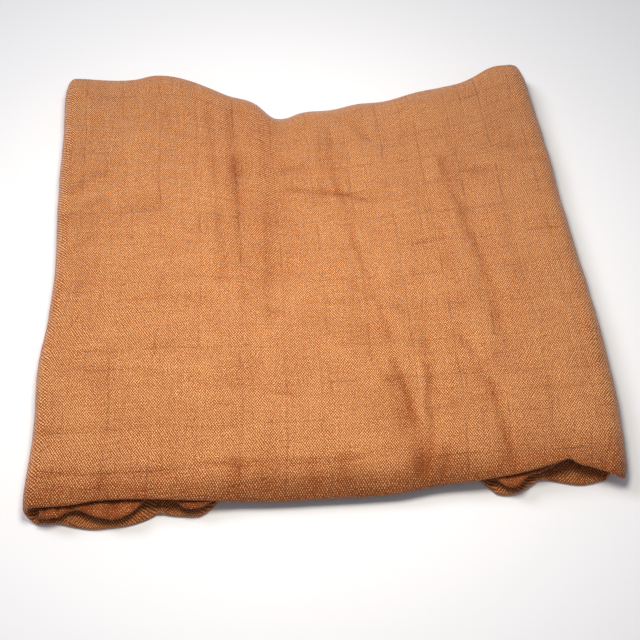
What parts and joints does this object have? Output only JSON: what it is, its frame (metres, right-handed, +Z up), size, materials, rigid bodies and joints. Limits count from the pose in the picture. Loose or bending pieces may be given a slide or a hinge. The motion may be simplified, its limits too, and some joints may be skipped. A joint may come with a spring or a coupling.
{
  "type": "folded swaddle blanket",
  "caption": "Soft muslin baby blanket folded into a flat rectangular bundle, with rounded folded rims and wavy lower layers at the front corners.",
  "frame": {"origin": "under the middle of the folded bundle, on the surface it rests on", "axes": "+Z up from the table, +X along the front folded rim towards the side where the top layer ends, +Y from the front rim to the far rim"},
  "size_m": [0.3336, 0.3218, 0.0175],
  "materials": {
    "muslin": "matt terracotta cotton muslin, soft double weave with a fine square grid and gentle crinkles"
  },
  "bodies": {
    "root": {"folded_cloth": "muslin"}
  },
  "joints": []
}
